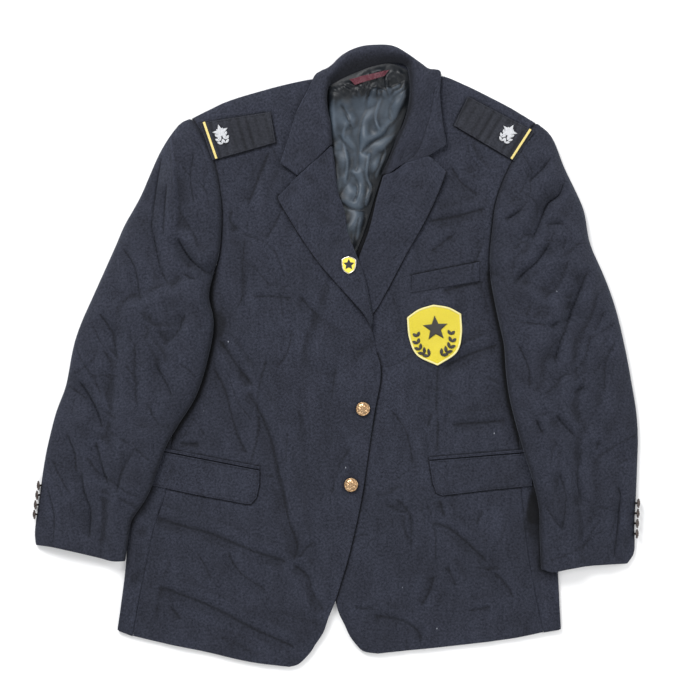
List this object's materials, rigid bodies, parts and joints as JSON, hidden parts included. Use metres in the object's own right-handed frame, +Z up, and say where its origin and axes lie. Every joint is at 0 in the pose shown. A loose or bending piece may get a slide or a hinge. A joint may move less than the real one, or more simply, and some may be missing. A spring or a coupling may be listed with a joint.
{
  "type": "blazer",
  "caption": "Navy wool two-button blazer laid flat, unbuttoned, with notch lapels, flap pockets, a breast welt, shoulder marks and a chest patch.",
  "frame": {"origin": "centre of the garment's box at its underside, where it lies on the floor", "axes": "+Y from hem to collar along the longest extent, +X to the right as seen from above, +Z up from the floor"},
  "size_m": [0.8184, 0.8378, 0.0328],
  "materials": {
    "wool": "napped navy worsted wool, matte",
    "lining": "grey-blue satin lining",
    "button_brass": "domed warm gilt",
    "cuff_brass": "dark antique metal",
    "mark_cloth": "smooth dark cloth",
    "mark_braid": "yellow braid",
    "silver_thread": "silver-grey embroidery",
    "patch_yellow": "yellow embroidered twill",
    "pin_enamel": "yellow enamel with a metal rim",
    "label": "woven crimson satin"
  },
  "bodies": {
    "root": {"back_left": "wool", "back_right": "wool", "side_panel_left": "wool", "side_panel_right": "wool", "front_left": "wool", "front_right": "wool", "lapel_left": "wool", "lapel_right": "wool", "collar": "wool", "top_sleeve_left": "wool", "top_sleeve_right": "wool", "under_sleeve_left": "wool", "under_sleeve_right": "wool", "pocket_flap_left": "wool", "pocket_flap_right": "wool", "pocket_jet_left": "wool", "pocket_jet_right": "wool", "breast_welt": "wool", "lining_back": "lining", "front_button_upper": "button_brass", "front_button_lower": "button_brass", "cuff_button_left_1": "cuff_brass", "cuff_button_left_2": "cuff_brass", "cuff_button_left_3": "cuff_brass", "cuff_button_left_4": "cuff_brass", "cuff_button_right_1": "cuff_brass", "cuff_button_right_2": "cuff_brass", "cuff_button_right_3": "cuff_brass", "cuff_button_right_4": "cuff_brass", "shoulder_mark_left": "mark_cloth", "shoulder_mark_right": "mark_cloth", "mark_bar_left": "mark_braid", "mark_bar_right": "mark_braid", "mark_badge_left": "silver_thread", "mark_badge_right": "silver_thread", "shield_patch": "patch_yellow", "lapel_pin": "pin_enamel", "neck_label": "label"}
  },
  "joints": []
}
